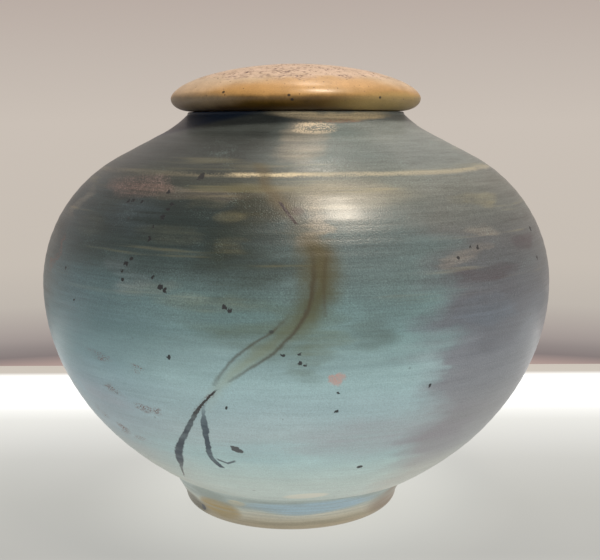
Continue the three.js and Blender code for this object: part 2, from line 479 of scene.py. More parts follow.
# Clouds in the smoke, and among them some painted light and reflections: azimuth from the front in degrees,
# height, half width, half height, colour, strength.
clouds_and_painted_light = [
    (-74, 128, 26, 34, (0.018, 0.028, 0.034), 0.65), (-8, 108, 30, 15, (0.055, 0.08, 0.042), 0.5),
    (-9, 133, 24, 16, (0.014, 0.021, 0.013), 0.65), (-8, 153, 15, 10, (0.014, 0.017, 0.007), 0.8),
    (44, 108, 26, 16, (0.06, 0.06, 0.075), 0.35), (14, 106, 15, 8, (0.07, 0.115, 0.11), 0.5),
    (4, 98, 12, 12, (0.1, 0.14, 0.1), 0.45), (17, 126, 15, 24, (0.06, 0.1, 0.11), 0.35),
    # On the next row the cream oval at azimuth 20 is a cream brushstroke, partly painted light where the
    # lid's shade falls on the neck.
    (4, 177, 12, 10, beige, 0.3), (20, 187, 32, 2.6, cream, 0.95),
    (-52, 172, 30, 7, (0.035, 0.045, 0.05), 0.4), (10, 156, 32, 6, (0.24, 0.22, 0.16), 0.35),
    (-26, 157, 32, 3.2, (0.17, 0.145, 0.12), 0.3), (-42, 158.5, 22, 4.5, rose, 0.35),
    (-11, 138, 9, 3.5, straw, 0.13), (-21, 154, 9, 3, straw, 0.1), (-13, 149, 9, 3, straw, 0.2),
    (4, 145, 5.5, 8, (0.26, 0.22, 0.17), 0.4), (-38, 147, 18, 9, (0.05, 0.078, 0.1), 0.5),
    (-27, 141, 18, 4, straw, 0.09), (-52, 142, 14, 5, straw, 0.08), (-63, 150, 8, 8, beige, 0.12),
    (-34, 125, 9, 8, lavender, 0.1), (-17, 117, 28, 3, (0.2, 0.24, 0.19), 0.25),
    (-30, 122, 14, 3, cream, 0.05), (-13, 111, 18, 4, (0.1, 0.21, 0.25), 0.4),
    (44, 152, 18, 3, straw, 0.3), (42, 140, 14, 3, beige, 0.11),
    (56, 134, 16, 3.2, (0.045, 0.033, 0.045), 0.7), (40, 124, 24, 3.2, (0.045, 0.035, 0.045), 0.6),
    (34, 131, 8, 3.5, beige, 0.14), (40, 110, 14, 8, (0.13, 0.18, 0.24), 0.4), (27, 88, 9, 10, sky, 0.25),
    (14, 60, 30, 12, (0.33, 0.34, 0.39), 0.5), (-48, 70, 20, 10, lavender, 0.35),
    (-9, 54, 18, 7, sky, 0.5), (36, 55, 26, 16, (0.27, 0.25, 0.3), 0.45),
    # The pale ovals at azimuths 70 and -72 on the next row are painted reflections of the bright table along
    # the jar's sides.
    (70, 86, 22, 34, (0.4, 0.41, 0.45), 0.25), (-72, 76, 16, 14, (0.5, 0.47, 0.47), 0.2),
    (92, 128, 30, 10, plum, 0.5), (118, 150, 26, 6, rose, 0.4), (140, 96, 34, 10, cream, 0.2),
    (160, 66, 30, 14, lavender, 0.45), (-168, 132, 34, 6, straw, 0.3), (-150, 112, 24, 9, plum, 0.4),
    (-128, 76, 28, 12, sky, 0.45), (-112, 140, 22, 6, beige, 0.18), (-96, 92, 22, 8, lavender, 0.3)]

# Spots where the smoke caught: azimuth, height and half size; and rusty ones: azimuth, height, half sizes.
spots = [
    (8, 82, 0.8), (7.8, 74, 1.0), (27, 82, 1.0), (16, 44, 1.0), (-24.5, 95, 1.1), (-13, 116, 1.2),
    (-12, 114.6, 1.0), (-13.8, 75, 0.8), (33, 131.6, 0.9), (39, 134.6, 1.1), (37, 135, 0.8),
    (64, 138, 1.3), (62, 126, 1.2), (-30.5, 157, 0.9), (-28, 152.5, 1.0), (-28.2, 150.5, 1.0),
    (-29, 147.6, 1.2), (-30.5, 144, 0.7), (-30.5, 139.6, 1.1), (-33.8, 131.7, 1.2), (-34.8, 129.7, 1.1),
    (-35.5, 126.5, 0.8), (-35, 123.5, 0.9), (-28, 125.5, 0.8), (-26, 122, 1.5), (-25, 120.8, 1.2),
    (-39.5, 153, 1.0), (-41, 152.6, 0.9), (-36.5, 153, 0.9), (-24, 162.8, 1.5), (-55, 124, 0.9),
    (-50, 112, 0.8), (-2.5, 98, 0.9), (0.5, 98.5, 0.8), (0.6, 94.6, 1.0), (1.5, 93.8, 0.8),
    (110, 140, 1.4), (126, 98, 1.2), (150, 122, 1.3), (-165, 88, 1.2), (-140, 146, 1.5), (-120, 104, 1.1)]
rust_specks = [
    (-45, 90, 7, 3), (-34, 87, 5, 2.5), (-41, 76.5, 5, 3.5), (-35, 70.4, 6, 2.6), (-30, 70, 4, 2),
    (-51, 60, 5, 3), (-45, 55, 5, 3), (-40, 52, 4, 2), (-63, 128, 4, 9), (170, 108, 8, 3),
    (-104, 66, 7, 3), (98, 88, 7, 3)]

degree = math.degrees(1)


def new_surface(name):
    """A new material and the place on its piece in mm."""
    made = bpy.data.materials.new(name)
    made.use_nodes = True
    metres = Wire(made.node_tree).node("ShaderNodeTexCoord", output="Object")
    return made, metres.lit(1 / MM)


def dress(material, varying, steady):
    """Joins what varies over a surface to its shader, and sets what doesn't on the shader's own sockets."""
    shader = material.node_tree.nodes["Principled BSDF"]
    for part, wire in varying.items():
        material.node_tree.links.new(wire.socket, shader.inputs[part])
    for part, value in steady.items():
        shader.inputs[part].default_value = value


def relief(height):
    """A bumpy normal from a height in mm."""
    strength = 0.8
    return height.node("ShaderNodeBump", {}, {"Height": height, "Distance": MM, "Strength": strength})


def round_the_axis(across, back):
    """The distance from a piece's axis in mm, and the azimuth from the front in degrees."""
    return (across ** 2 + back ** 2) ** 0.5, across.math("ARCTAN2", across, 0 - back) * degree


def up_the_jar(height, stops):
    """A colour that changes with height, from stops of (height, colour)."""
    return height.ramp(stops, 0, rim_height)


def round_the_jar(azimuth, stops):
    """A strength that changes round the jar, from stops of (azimuth, strength); both ends are its back."""
    return azimuth.ramp([(a, (k, k, k)) for a, k in stops], -180, 180)


def oval_tree():
    """A node group whose result is 1 inside an oval on the clay and 0 outside it."""
    outer_edge = 1.3
    tree = bpy.data.node_groups.new("oval_mark", "ShaderNodeTree")
    for name in ("Azimuth", "Height", "Radius", "Centre", "Middle", "Half Width", "Half Height", "Hard"):
        tree.interface.new_socket(name, in_out="INPUT", socket_type="NodeSocketFloat")
    tree.interface.new_socket("Mark", in_out="OUTPUT", socket_type="NodeSocketFloat")
    asked = Wire(tree).node("NodeGroupInput").outputs()
    off_centre = (asked["Azimuth"] - asked["Centre"] + 180) % 360 - 180
    across = off_centre * asked["Radius"] / degree / asked["Half Width"]
    up = (asked["Height"] - asked["Middle"]) / asked["Half Height"]
    mark = (across * across + up * up).rise(outer_edge, asked["Hard"])
    end = tree.nodes.new("NodeGroupOutput")
    tree.links.new(mark.socket, end.inputs["Mark"])
    return tree


oval_mark = oval_tree()


def patch(azimuth, height, centre, middle, half_width, half_height, hard=0.1):
    """1 inside an oval on the clay and 0 outside it, at the present section's radius."""
    return azimuth.node("ShaderNodeGroup", {"node_tree": oval_mark}, {
        "Azimuth": azimuth, "Height": height, "Radius": radius, "Centre": centre, "Middle": middle,
        "Half Width": half_width, "Half Height": half_height, "Hard": hard})


def painted(colour, azimuth, height, marks, hard=0.1, cover=1.0):
    """A colour with ovals painted on it, in rows like those of clouds, where a cover of paint is left."""
    for *oval, paint, strength in marks:
        colour = colour.tint(paint, patch(azimuth, height, *oval, hard) * cover * strength)
    return colour


# Azimuth and height on the clay, true and with the smoke's soft, brushed edges.
smoke_spread, brush_spread = 14, 22  # degrees
smoke_lift, brush_lift = 6, 7
fumed_clay, place = new_surface("fumed_clay")
along = place.parts()
height = along["Z"]
radius, true_turn = round_the_axis(along["X"], along["Y"])
brushed = place.cloud(9, (7, 7, 1), detail=3, seed=1.0)
wavering = place.cloud(22, detail=2, seed=2.0)
turn = true_turn + place.cloud(26, (1, 1, 0.5), detail=4, roughness=0.6, seed=4.0) * smoke_spread
turn = turn + brushed * brush_spread
level = height + brushed * brush_lift + wavering * smoke_lift

# Where the left, right and smoked stretches lie round the jar, in stops of (azimuth, share).
left_part = round_the_jar(turn, [
    (-180, 0), (-150, 0.2), (-110, 0.9), (-50, 1), (-24, 0), (130, 0), (150, 0.6), (180, 0)])
right_part = round_the_jar(turn, [
    (-180, 0.8), (-130, 0), (22, 0), (33, 1), (80, 1), (112, 0), (150, 0.2), (180, 0.8)])
smoke_part = round_the_jar(turn, [
    (-180, 0), (-150, 0.8), (-110, 0.3), (-62, 0.45), (-42, 0.95), (-12, 1), (9, 0), (88, 0), (120, 0.9),
    (150, 0.5), (180, 0)])
bands = place.cloud(5.5, (16, 16, 1), detail=2, seed=5.0)
lines = place.cloud(1.6, (26, 26, 1), detail=2, seed=6.0)
dusty = place.cloud(7, (3, 3, 1), detail=4, roughness=0.7, seed=9.0)
cloud_body, cloud_gaps = 0.8, 1.2
broken = (bands * 1.6 + lines * 1.2 + dusty * 1.4) * cloud_gaps + cloud_body
fumes = up_the_jar(level, fumed_front).tint(up_the_jar(level, fumed_left), left_part)
fumes = fumes.tint(up_the_jar(level, fumed_right), right_part)
fumes = fumes.tint(up_the_jar(level, smoked), smoke_part * level.rise(112, 138))
fumes = painted(fumes, turn, level, clouds_and_painted_light, cover=broken)

# Brush and throwing lines, drawn out round the jar and finer and finer.
hairs = place.cloud(0.6, (30, 30, 1), detail=1, seed=7.0)
sand = place.cloud(0.55, detail=1, seed=8.0)
upper = height.rise(96, 128)
streaks = (bands * 0.5 + lines * 0.5 + hairs * 0.5) * (upper * 0.7 + 0.3)
fumes = fumes.lit(1 + streaks + sand * (upper * 0.65 + 0.45) + dusty * 0.3)
on_shoulder = height.rise(112, 130) * height.rise(182, 160)
fumes = fumes.tint(straw, (bands + lines * 0.7).rise(0.1, 0.3, 0.3) * on_shoulder)
fumes = fumes.tint((0.2, 0.31, 0.31), (dusty + sand * 0.8).rise(0.12, 0.4, 0.25) * upper)

# The line left at the top of the shoulder where the brush was turned.
shoulder_line_height = 163.8
line_outer, line_core, line_waver = 1.35, 0.3, 2.5
line_strength = round_the_jar(true_turn, [
    (-180, 0.3), (-120, 0.1), (-75, 0.1), (-40, 0.08), (-18, 0.22), (-13, 1), (-1, 1), (6, 0.42), (70, 0.28),
    (120, 0.15), (180, 0.3)])
line_height = height + place.cloud(20, (3, 3, 1), detail=2, seed=10.0) * line_waver
shoulder_line = (line_height - shoulder_line_height).unsigned().rise(line_outer, line_core)
line_wear = (lines + dusty + sand * 0.8).rise(-0.3, 0.15, 0.8)
fumes = fumes.tint(cream, shoulder_line * line_strength * line_wear)

# Under the lid the neck is dark blue on one side, partly from the smoke and partly painted shade along the
# lid's shadow, with sparkling patches beside it.
navy = (0.003, 0.013, 0.036)
navy_edge, navy_slope, navy_start = 179.5, 0.19, 64
# The blue band's edge slopes down to the left as the lid's shadow does: painted shade over the smoke's own
# navy.
navy_and_lid_shadow = (height - navy_edge - (true_turn + navy_start) * navy_slope + brushed * 2).rise(-1.5, 1.2)
navy_and_lid_shadow = navy_and_lid_shadow * true_turn.rise(10, -30) * true_turn.rise(-130, -95)
fumes = fumes.tint(navy, navy_and_lid_shadow * 0.9)
sparkle = (sand * 1.2 + lines * 0.6 + dusty * 0.5).rise(-0.06, 0.1)
flushed = (sand * 2 + dusty).rise(0.0, 0.3)
# The first oval, cream under the lid, and the third, beige on the shoulder, are their own colour partly mixed
# with painted highlight.
for at_height, mark in [
        (height + brushed * 4, (8, 182, 11, 2.6, (0.8, 0.68, 0.5), sparkle * 0.7)),
        (height + brushed * 2, (19, 184.6, 13, 1.0, (0.22, 0.11, 0.08), sparkle * 0.7)),
        (height, (3.5, 149, 6, 10, (0.44, 0.38, 0.3), sparkle * 0.2)),
        (level, (-42, 159, 24, 5, (0.28, 0.2, 0.19), flushed * 0.4))]:
    fumes = painted(fumes, turn, at_height, [mark])

# The long mark: a brown vapour line down the front that splits, runs together and ends in two painted legs.
# Its routes are points of (height, azimuth).
mark_route = [
    (176, -12.5), (162, -7.3), (157, -5.0), (153.7, -3.4), (146.2, 0), (141, 2), (132, 3.2), (126, 3.0),
    (118.5, 2.5), (110.8, 1.0), (104.4, -1.5), (98.7, -4.2), (94.4, -7.0), (89.6, -10.5), (83, -15),
    (78.3, -17.8), (72.6, -20.5), (64.4, -23.5), (58.6, -26), (48.2, -30.5), (40.5, -33.2), (30, -39)]
second_route = [
    (115, -1), (106.7, -4.5), (102.1, -8), (97.2, -10.8), (92.9, -12.8), (88.5, -14.6), (82, -16)]
leg_route = [
    (82, -16.3), (75.1, -18.6), (68.3, -19.5), (62.8, -19.8), (55.4, -20.5), (50, -21), (43, -19.6)]
edge_route = [(150, 7.5), (138, 5.9), (130, 5.2), (118, 5.0), (104, 6)]
vapour_route = [
    (176, -12.5), (160, -6.5), (150, -1.5), (140, 3.2), (128, 4.2), (118, 3.4), (108, -0.5), (100, -6),
    (90, -12), (80, -16)]
stroke_route = [(154.5, -3.7), (150, -1.7), (146, 0.1)]
mark_turn = true_turn + place.cloud(5, (1, 1, 2), detail=2, seed=11.0) * 0.9
mark_turn = mark_turn + place.cloud(1.6, detail=2, seed=15.0) * 0.6
ragged_turn = true_turn + place.cloud(2.5, detail=3, seed=16.0) * 3
ragged_level = height + place.cloud(2.5, detail=3, seed=17.0) * 3
vapour_turn = true_turn + place.cloud(9, detail=3, seed=12.0) * 4


def off_route(azimuth, route):
    """Millimetres sideways from a route."""
    return ((azimuth - height.curve(route, rim_height, -60, 60)) * radius / degree).unsigned()


def by_height(points, most=1.0):
    """A strength or width that changes up the jar, from points of (height, result), with none above most."""
    return height.curve(points, rim_height, 0, most)


vapour_colour = up_the_jar(height, [
    (78, (0.38, 0.46, 0.38)), (92, (0.27, 0.33, 0.23)), (104, (0.1, 0.125, 0.07)),
    (116, (0.05, 0.052, 0.012)), (138, (0.065, 0.05, 0.011)), (150, (0.08, 0.058, 0.022)),
    (165, (0.065, 0.048, 0.014))])
vapour_strength = by_height([
    (70, 0), (80, 0.22), (90, 0.5), (105, 0.7), (120, 0.88), (138, 0.85), (146, 0.3), (152, 0.5), (163, 0.6),
    (169, 0)])
vapour_width = by_height([(75, 3), (92, 6), (108, 9), (125, 11), (140, 10), (150, 5), (165, 4), (180, 4)], 16)
vapour = (off_route(vapour_turn, vapour_route) / vapour_width).rise(1.2, 0.0)
fumes = fumes.tint(vapour_colour, vapour * vapour_strength)
for route, half_width, strengths in [
        (mark_route, 1.8, [(86, 0.15), (91, 0.5), (105, 0.75), (118, 0.8), (132, 0.45), (142, 0)]),
        (edge_route, 1.5, [(112, 0), (119, 0.4), (130, 0.45), (137, 0.15), (143, 0)]),
        (second_route, 1.6, [(84, 0.1), (92, 0.5), (106, 0.65), (109, 0.45), (116, 0)])]:
    fumes = fumes.tint(brown, off_route(mark_turn, route).rise(half_width, 0.0) * by_height(strengths))
fumes = painted(fumes, true_turn, height, [(-4.5, 107, 1.1, 0.9, smoke_black, 0.7)])

stroke = off_route(true_turn, stroke_route).rise(1.0, 0.45)
stroke = stroke * height.rise(145.6, 146.6) * height.rise(154.6, 153.4)
fumes = fumes.tint((0.01, 0.003, 0.007), stroke)
fumes = painted(fumes, true_turn, height, [(0.3, 150.8, 3, 1.8, (0.05, 0.035, 0.035), 0.6)])

# The two legs, the hook at the end of the right one, and the blot, salmon spot and cream wedge beside them.
speckled = (sand + dusty * 0.6).rise(0.0, 0.12)
leg_halo = off_route(mark_turn, mark_route).rise(2.6, 0.6) * height.rise(67, 72) * height.rise(83, 79)
fumes = fumes.tint(rust, leg_halo * speckled * 0.85)
left_width = by_height([(29, 0.25), (38, 0.7), (48, 2.0), (58, 1.5), (65, 1.3), (72, 0.9), (82, 0.6)], 5)
left_leg = (off_route(mark_turn, mark_route) / left_width).rise(1.25, 0.8) * height.rise(83.5, 81.5)
left_colour = up_the_jar(height, [
    (28, (0.09, 0.09, 0.08)), (45, slate), (66, (0.05, 0.07, 0.09)), (70, (0.02, 0.018, 0.02))])
fumes = fumes.tint(left_colour, left_leg * height.rise(28, 33) * (0.93 + dusty))
right_width = by_height([(42, 0.9), (50, 1.3), (58, 1.2), (66, 1.5), (70, 0.9), (80, 0.5)], 5)
right_leg = (off_route(mark_turn, leg_route) / right_width).rise(1.25, 0.8)
right_leg = right_leg * height.rise(42.5, 43.5) * height.rise(78, 68)
fumes = fumes.tint((0.05, 0.08, 0.11), right_leg * (0.93 + dusty))
hook_turn, hook_height, hook_slope = -17.3, 46.2, 0.8
hook = height - hook_height - (true_turn - hook_turn).unsigned() * hook_slope
hook = hook.unsigned().rise(0.8, 0.3) * true_turn.rise(-20, -19.3) * true_turn.rise(-14.6, -15.4)
fumes = fumes.tint(slate, hook * 0.85)
blot_turn, blot_slope = -13.6, 0.7
fumes = painted(fumes, ragged_turn, ragged_level + (true_turn - blot_turn) * blot_slope, [
    (blot_turn, 54.6, 2.8, 1.5, (0.04, 0.035, 0.04), 0.9)], hard=0.6)
fumes = painted(fumes, ragged_turn, ragged_level, [
    (7.5, 88, 3.3, 2.7, (0.55, 0.3, 0.26), sand * 1.5 + 0.6)], hard=0.4)
wedge_turn, wedge_slope = 3, 0.12
fumes = painted(fumes, true_turn, height - (true_turn - wedge_turn) * wedge_slope, [
    (wedge_turn, 24.6, 10, 2.4, (0.88, 0.87, 0.76), 0.85)], hard=0.5)

# Specks of soot and rust.
soot = 0.0
spot_width, spot_height = 0.95, 0.8
spot_turn = true_turn + place.cloud(1.4, detail=1, seed=13.0) * 1.2
spot_level = height + place.cloud(1.2, detail=1, seed=14.0) * 2
for centre, middle, half_size in spots:
    half_width, half_height = half_size * spot_width, half_size * spot_height
    spot = patch(spot_turn, spot_level, centre, middle, half_width, half_height, hard=0.5)
    soot = place.math("MAXIMUM", soot, spot)
rusty = 0.0
for speck in rust_specks:
    rusty = place.math("MAXIMUM", rusty, patch(turn, level, *speck, hard=0.0))
crumb = place.grains(scale=0.11, least=0.02, spread=0.08, edge=0.5, kept=(0.55, 0.6))
fumes = fumes.tint((0.16, 0.06, 0.045), rusty * (sand + dusty * 0.5).rise(0.02, 0.12) * 0.9)
fumes = fumes.tint(smoke_black, soot * 0.96)
fumes = fumes.tint((0.03, 0.03, 0.035), crumb * (left_part * 0.6 + 0.4) * 0.8)

# Inside and underneath the clay is bare, only warmed by the firing.
outside = place.felt("outside")
bare = place.plain(bare_clay).lit(1 + bands * 0.5 + lines * 0.3 + wavering * 0.6)
dress(fumed_clay, {
    "Base Color": bare.tint(fumes, outside.rise(0.35, 0.75)),
    "Roughness": 0.4 + bands * 0.12 + dusty * 0.14 + soot * 0.15 + (1 - outside) * 0.35,
    "Normal": relief(hairs * 0.05 + lines * 0.06 + sand * 0.11 - soot * 0.06),
}, {"Coat Weight": 0.16, "Coat Roughness": 0.2})

jar = throw("thrown_jar", [([(0, base_height)], 0.0, 0.0)] + jar_profile(), fumed_clay, jar_turns,
            ring_spacing=4.5, ring_depth=0.12, unevenness=0.8, seed=3.0)
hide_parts("jar_body")
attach(jar, "jar")

# ---- The luted foot ----
# A ring thrown apart, turned with a waist and a rolled lower edge, and luted under the base with slip.
# It went on a little off the middle, and its colours were brushed on before the firing.
foot_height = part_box("foot_ring")[1].z / MM
foot_left, foot_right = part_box("foot_ring")[0].x / MM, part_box("foot_ring")[1].x / MM
foot_offset = (foot_left + foot_right) / 2
foot_seat_radius = (foot_right - foot_left) / 2
foot_waist_radius = foot_seat_radius - 5.8
foot_roll_radius = foot_seat_radius - 8.2
foot_roll_height = 4.5
foot_stand_radius = foot_seat_radius - 13
foot_stand_width = 6.5
foot_seat_width = 17
foot_turns = 300


def bend(start, middle, end, steps):
    """Points on a smooth curve from start through middle to end."""
    start, middle, end = Vector(start), Vector(middle), Vector(end)
    pull = middle * 2 - (start + end) / 2
    shares = [i / steps for i in range(steps + 1)]
    return [start * (1 - t) ** 2 + pull * 2 * t * (1 - t) + end * t * t for t in shares]


foot_inner_seat = Vector((foot_seat_radius - foot_seat_width, foot_height))
foot_inner_stand = Vector((foot_stand_radius - foot_stand_width, 0))
foot_roll = ellipse_arc((foot_stand_radius, foot_roll_height), foot_roll_radius - foot_stand_radius,
                        foot_roll_height, -math.pi / 2, 0, 10)
foot_side = bend(foot_roll[-1], (foot_waist_radius, foot_height / 2), (foot_seat_radius, foot_height), 26)
foot_profile = [
    ([foot_inner_stand], 0.0, 0.0),
    (straight(foot_inner_stand, foot_roll[0], 5), 0.2, 0.0),
    (foot_roll, 1.0, 0.0),
    (foot_side[1:-2], 1.0, 1.0),
    (foot_side[-2:], 1.0, 0.0),
    (straight(foot_side[-1], foot_inner_seat, 6), 0.0, 0.0),
    (straight(foot_inner_seat, foot_inner_stand, 14), 0.0, 0.0)]

foot_clay, place = new_surface("brushed_foot")
along = place.parts()
radius, true_turn = round_the_axis(along["X"] - foot_offset, along["Y"])
bands = place.cloud(3, (16, 16, 1), detail=3, seed=41.0)
lines = place.cloud(0.9, (24, 24, 1), detail=2, seed=42.0)
sand = place.cloud(0.6, detail=1, seed=43.0)
dusty = place.cloud(5, (3, 3, 1), detail=4, roughness=0.7, seed=44.0)
turn = true_turn + place.cloud(16, detail=3, seed=45.0) * 12
level = along["Z"] + place.cloud(14, (2, 2, 1), detail=3, seed=46.0) * 3.5
# The colour lightens at the top of the foot: painted light against the shade under the belly.
foot_colour = level.ramp([
    (0, (0.42, 0.34, 0.23)), (4, (0.48, 0.44, 0.33)), (7, (0.6, 0.59, 0.49)), (10, (0.56, 0.62, 0.57)),
    (12, (0.44, 0.52, 0.5)), (16, (0.44, 0.54, 0.53)), (19, (0.6, 0.7, 0.68))], 0, foot_height)

# Brushed marks: azimuth, height, half width, half height, colour, strength.
foot_marks = [
    (10, 13, 34, 3.8, (0.42, 0.59, 0.7), 0.95), (12, 8.8, 42, 0.7, (0.76, 0.76, 0.66), 0.6),
    (-26, 13.4, 6, 2.2, (0.62, 0.6, 0.46), 0.75), (-38, 8.5, 13, 5, (0.42, 0.31, 0.12), 0.75),
    (-42, 15.5, 11, 3, (0.33, 0.4, 0.37), 0.6), (64, 8, 22, 8, (0.32, 0.25, 0.19), 0.8),
    (10, 4.2, 34, 1.2, (0.4, 0.38, 0.29), 0.5), (-66, 4, 20, 6, (0.15, 0.14, 0.1), 0.9),
    (120, 12, 30, 4, (0.26, 0.38, 0.46), 0.7), (-150, 8, 30, 4, (0.36, 0.25, 0.11), 0.6),
    (178, 15, 24, 2.5, (0.55, 0.56, 0.46), 0.6), (-100, 14, 22, 2.5, (0.3, 0.4, 0.46), 0.6)]
foot_colour = painted(foot_colour, turn, level, foot_marks, hard=0.25, cover=bands * 1.4 + lines * 1.5 + 1)
foot_colour = foot_colour.lit(1 + bands * 0.5 + lines * 0.45 + sand * 0.3 + dusty * 0.2)
foot_colour = painted(foot_colour, true_turn, along["Z"], [
    (-51.5, 4.8, 1.7, 1.5, (0.07, 0.08, 0.11), 0.85)], hard=0.7)
outside = place.felt("outside")
bare = place.plain(bare_clay).lit(1 + dusty * 0.6 + sand * 0.3)
dress(foot_clay, {
    "Base Color": bare.tint(foot_colour, outside.rise(0.25, 0.7)),
    "Roughness": 0.42 + dusty * 0.15 + (1 - outside) * 0.35,
    "Normal": relief(lines * 0.08 + sand * 0.05),
}, {"Coat Weight": 0.2, "Coat Roughness": 0.25})

foot = throw("luted_foot", foot_profile, foot_clay, foot_turns, ring_spacing=3, ring_depth=0.06,
             off_centre=foot_offset, seed=5.0)
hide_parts("foot_ring")
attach(foot, "jar")

# ---- The lid ----
# A low dome thrown upside down, hollow underneath, that rests on the rim and overhangs it all round.
# Its rim is burnished tan clay; on the crown the slip has dried to a rough, cracked, pink-white crust.
lid_seat_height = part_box("lid")[0].z / MM
lid_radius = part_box("lid")[1].x / MM
lid_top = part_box("lid")[1].z / MM
lid_lip_reach = 9.5
lid_lip = 5.6
lid_crown = lid_top - lid_seat_height - lid_lip
lid_crown_power = 1.85
lid_thickness = 8.5
lid_turns = 440
crown_steps = 110
crust_height = 202
flange_clearance = 1.5
flange_width = 5
flange_radius = mouth_radius - flange_clearance
flange_inner_radius = flange_radius - flange_width
lid_hollow_rise = lid_top - lid_seat_height - lid_thickness

lid_under = ellipse_arc((0, lid_seat_height), flange_inner_radius, lid_hollow_rise, math.pi / 2, 0, 26)
lid_under[0].x = 0
lid_lip_centre = (lid_radius - lid_lip_reach, lid_seat_height + lid_lip)
lid_lip_arc = ellipse_arc(lid_lip_centre, lid_lip_reach, lid_lip, -math.pi / 2, 0, 14)


def crown_point(turn):
    """A point on the crown, at a turn from its widest line (0) to its top (a right angle)."""
    across, up = math.cos(turn) ** (2 / lid_crown_power), math.sin(turn) ** (2 / lid_crown_power)
    return Vector((lid_radius * across, lid_seat_height + lid_lip + lid_crown * up))


lid_profile = [
    (lid_under, 0.0, 0.0),
    (straight(lid_under[-1], lid_lip_arc[0], 12), 0.0, 0.0),
    (lid_lip_arc[1:], 1.0, 0.3),
    ([crown_point(math.pi / 2 * i / crown_steps) for i in range(1, crown_steps)], 1.0, 1.0),
    ([(0, lid_top)], 1.0, 0.0)]

lid_clay, place = new_surface("tan_lid")
along = place.parts()
radius, true_turn = round_the_axis(along["X"], along["Y"])
bands = place.cloud(2.5, (18, 18, 1), detail=3, seed=51.0)
sand = place.cloud(0.6, detail=2, seed=52.0)
dusty = place.cloud(9, detail=4, roughness=0.65, seed=53.0)
level = along["Z"] + bands * 1.5 + dusty * 2.5
# The tan darkens to near black towards the seat: painted shade on the underside of the overhanging lip.
tan = level.ramp([
    (189.5, (0.03, 0.014, 0.0)), (192, (0.055, 0.028, 0.0)), (194.3, (0.13, 0.07, 0.012)),
    (196.3, (0.32, 0.19, 0.065)), (200, (0.4, 0.255, 0.12)), (203, (0.43, 0.33, 0.22)),
    (208, (0.47, 0.38, 0.3))], lid_seat_height, lid_top)
# Of these ovals, the one at azimuth 56 low on the lip is painted light on the side that faces the near lamp.
tan = painted(tan, true_turn, level, [
    (16, 201.5, 30, 3, (0.45, 0.28, 0.13), 0.7), (56, 192.3, 42, 5, (0.33, 0.24, 0.09), 0.85),
    (-55, 193.6, 34, 4, (0.2, 0.155, 0.1), 0.7), (-62, 202, 40, 6, (0.5, 0.4, 0.3), 0.6),
    (72, 203, 30, 6, (0.5, 0.4, 0.3), 0.6), (-12, 198, 30, 3, (0.42, 0.24, 0.08), 0.5)])

# The crust, its cracks and pocks, dark flecks round its edge, grog in the tan rim and four iron spots.
pitted, pits = place.felt("pitted"), place.felt("pits")
crust = tan.tint((0.47, 0.37, 0.31), pitted * (0.7 + dusty * 1.5))
crust = crust.lit(1 + bands * 0.25 + dusty * 0.6 + sand * 0.5)
flecks = place.cloud(1.7, (1.6, 1.6, 1), detail=3, roughness=0.6, seed=54.0).rise(0.1, 0.17)
flecks = flecks * place.cloud(13, detail=1, seed=55.0).rise(-0.08, 0.06) * along["Z"].rise(199.5, 204)
grog = place.grains(scale=0.5, least=0.07, spread=0.2, edge=0.4, kept=(0.5, 0.56))
crust = crust.tint((0.05, 0.03, 0.038), pits * (0.85 + sand))
crust = crust.tint((0.07, 0.04, 0.05), flecks * 0.8)
crust = crust.tint((0.07, 0.035, 0.018), grog * 0.8)
iron_spots = [(-2.8, 195.4), (-1.5, 193.6), (38, 194.6), (-32, 197)]
crust = painted(crust, true_turn, along["Z"], [
    (centre, middle, 0.75, 0.6, (0.012, 0.008, 0.006), 0.9) for centre, middle in iron_spots], hard=0.4)
outside = place.felt("outside")
bare = place.plain((0.38, 0.29, 0.2)).lit(1 + bands * 0.4 + dusty * 0.5 + sand * 0.3)
dress(lid_clay, {
    "Base Color": bare.tint(crust, outside.rise(0.3, 0.7)),
    "Roughness": 0.42 + pitted * 0.35 + dusty * 0.1 + (1 - outside) * 0.3,
    "Normal": relief(sand * (pitted * 0.2 + 0.03) + bands * 0.05 - grog * 0.05),
    "Coat Weight": (1 - pitted) * along["Z"].rise(193, 197) * 0.2,
}, {"Coat Roughness": 0.22, "Specular IOR Level": 0.35})

dome = throw("lid_dome", lid_profile, lid_clay, lid_turns, ring_spacing=3.5, ring_depth=0.05, unevenness=0.4,
             pit_depth=0.35, pitted_above=crust_height, seed=9.0)
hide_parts("lid")
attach(dome, "lid")

# ---- The locating flange ----
# A short ring of bare clay, thrown apart and luted to the lid's underside with slip.
# It drops into the mouth with a little room all round, and keeps the lid in the middle.
flange_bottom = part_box("lid_flange")[0].z / MM
flange_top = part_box("lid_flange")[1].z / MM
flange_edge = 1.2
flange_turns = 200
inner_foot, outer_foot = (flange_inner_radius, flange_bottom), (flange_radius, flange_bottom)
inner_head, outer_head = (flange_inner_radius, flange_top), (flange_radius, flange_top)
flange_inside = round_corner(inner_foot, inner_head, outer_foot, flange_edge, 4)
flange_outside = round_corner(outer_foot, inner_foot, outer_head, flange_edge, 4)
flange_profile = [
    ([inner_head], 0.0, 0.0),
    (straight(inner_head, flange_inside[0], 8), 0.0, 1.0),
    (flange_inside + flange_outside, 0.0, 0.0),
    (straight(flange_outside[-1], outer_head, 8), 0.0, 1.0),
    (straight(outer_head, inner_head, 4), 0.0, 0.0)]

flange_clay, place = new_surface("bare_flange")
bands = place.cloud(1.8, (18, 18, 1), detail=3, seed=61.0)
sand = place.cloud(0.6, detail=2, seed=62.0)
dusty = place.cloud(8, detail=4, roughness=0.65, seed=63.0)
dress(flange_clay, {
    "Base Color": place.plain((0.4, 0.31, 0.22)).lit(1 + bands * 0.5 + dusty * 0.6 + sand * 0.4),
    "Roughness": 0.72 + dusty * 0.2,
    "Normal": relief(bands * 0.06 + sand * 0.06),
}, {})

